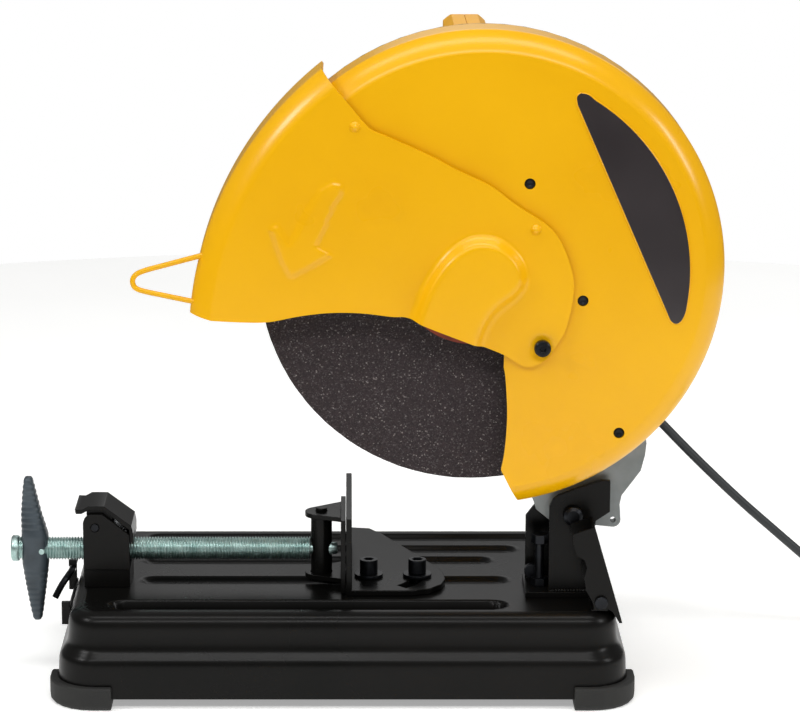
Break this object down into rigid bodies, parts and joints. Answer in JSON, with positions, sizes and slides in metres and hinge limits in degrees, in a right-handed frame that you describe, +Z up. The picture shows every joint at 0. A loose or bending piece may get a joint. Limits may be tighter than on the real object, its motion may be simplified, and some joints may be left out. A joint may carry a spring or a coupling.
{
  "type": "abrasive chop saw",
  "caption": "Bench chop saw for metal: a guarded abrasive wheel and motor on a sprung arm above a pressed steel base with a screw vise, swivel fence and spark deflector.",
  "frame": {"origin": "centre of the footprint of the saw without its cord, on the surface the rubber feet stand on", "axes": "+X from the operator to the rear, along the vise screw; +Y from the cutting plane to the motor; +Z up"},
  "size_m": [0.9005, 0.298, 0.574],
  "materials": {
    "base_enamel": "satin black enamel",
    "yellow_paint": "gloss",
    "yellow_plastic": "gloss moulded shell",
    "foot_rubber": "matte",
    "crank_enamel": "satin dark grey",
    "zinc_plate": "zinc plated",
    "bright_steel": "machined",
    "black_steel": "black oxide",
    "cast_aluminium": "cast",
    "black_plastic": "matte moulded",
    "abrasive": "resin-bonded grit",
    "badge_film": "plain film",
    "winding": "lacquered winding and laminations"
  },
  "bodies": {
    "base": {"base_pan": "base_enamel", "foot_front_right": "foot_rubber", "foot_front_left": "foot_rubber", "foot_rear_right": "foot_rubber", "foot_rear_left": "foot_rubber", "hex_key": "black_steel", "key_clip": "base_enamel", "fence": "base_enamel", "fence_pivot_bolt": "black_steel", "fence_lock_bolt": "black_steel", "fence_pivot_washer": "black_steel", "fence_lock_washer": "black_steel", "vise_bracket": "base_enamel", "lever_pin": "black_steel", "pivot_stand": "base_enamel", "pivot_pin": "black_steel", "return_spring": "black_steel", "stop_bolt": "black_steel", "stop_nut": "black_steel", "deflector_screw": "black_steel", "cord_lead": "foot_rubber", "cord_coil": "foot_rubber", "mains_plug": "black_plastic"},
    "deflector": {"spark_deflector": "base_enamel"},
    "lever": {"vise_lever": "base_enamel", "half_nut": "bright_steel"},
    "carriage": {"jaw_post": "base_enamel", "vise_jaw": "base_enamel"},
    "screw": {"vise_screw": "zinc_plate", "crank_bar": "crank_enamel", "crank_pin": "zinc_plate"},
    "arm": {"arm": "cast_aluminium", "motor_housing": "yellow_paint", "motor_end_cap": "black_plastic", "handle_shell_front": "yellow_plastic", "handle_shell_rear": "yellow_plastic", "fixed_guard": "yellow_paint", "guard_back_plate": "base_enamel", "guard_badge": "badge_film", "guard_bolt": "black_steel", "brush_cap_rear": "black_plastic", "brush_cap_front": "black_plastic", "motor_stator": "bright_steel", "motor_bearing": "bright_steel", "spindle_bearing": "bright_steel", "cord_gland": "foot_rubber"},
    "trigger": {"trigger": "black_plastic"},
    "lock_button": {"spindle_lock_button": "black_plastic"},
    "carry_lock": {"lock_pin": "black_steel"},
    "front_guard": {"front_guard": "yellow_paint", "guard_pull_wire": "yellow_paint"},
    "spindle": {"spindle_shaft": "bright_steel", "inner_flange": "black_steel", "abrasive_wheel": "abrasive", "outer_flange": "black_steel", "wheel_bolt": "black_steel", "spindle_gear": "bright_steel"},
    "armature": {"armature": "winding"}
  },
  "joints": [
    {"name": "arm_tilt", "type": "hinge", "parent": "base", "child": "arm", "pos_m": [0.1827, -0.102, 0.153], "axis": [0, -1, 0], "range_deg": [0, 43], "stiffness_Nm_per_rad": 32, "springref_deg": -28.65},
    {"name": "guard_swing", "type": "hinge", "parent": "arm", "child": "front_guard", "pos_m": [0.1515, -0.102, 0.312], "axis": [0, 1, 0], "range_deg": [0, 40.5]},
    {"name": "spindle_spin", "type": "hinge", "parent": "arm", "child": "spindle", "pos_m": [0.0935, -0.102, 0.37], "axis": [0, 1, 0], "continuous": true},
    {"name": "armature_spin", "type": "hinge", "parent": "arm", "child": "armature", "pos_m": [0.1177, -0.102, 0.3953], "axis": [0, 1, 0], "continuous": true},
    {"name": "trigger_press", "type": "slide", "parent": "arm", "child": "trigger", "axis": [0, 0, 1], "range_m": [0, 0.005], "stiffness_N_per_m": 500, "springref_m": -0.005},
    {"name": "lock_button_press", "type": "slide", "parent": "arm", "child": "lock_button", "axis": [0, -1, 0], "range_m": [0, 0.0038], "stiffness_N_per_m": 400, "springref_m": -0.004},
    {"name": "carry_lock_slide", "type": "slide", "parent": "base", "child": "carry_lock", "axis": [0, 1, 0], "range_m": [0, 0.0075]},
    {"name": "deflector_tilt", "type": "hinge", "parent": "base", "child": "deflector", "pos_m": [0.2047, -0.102, 0.089], "axis": [0, -1, 0], "range_deg": [0, 12]},
    {"name": "lever_lift", "type": "hinge", "parent": "base", "child": "lever", "pos_m": [-0.2287, -0.03, 0.1345], "axis": [0, -1, 0], "range_deg": [0, 60]},
    {"name": "screw_turn", "type": "hinge", "parent": "carriage", "child": "screw", "pos_m": [-0.2, -0.03, 0.109], "axis": [1, 0, 0], "range_deg": [0, 14400]},
    {"name": "vise_slide", "type": "slide", "parent": "base", "child": "carriage", "axis": [-1, 0, 0], "range_m": [0, 0.1005]}
  ],
  "couplings": [
    {"joint": "guard_swing", "follows": "arm_tilt", "ratio": 0.93},
    {"joint": "armature_spin", "follows": "spindle_spin", "ratio": -5.2222},
    {"joint": "vise_slide", "follows": "screw_turn", "m_per_rad": 0.00039788}
  ]
}
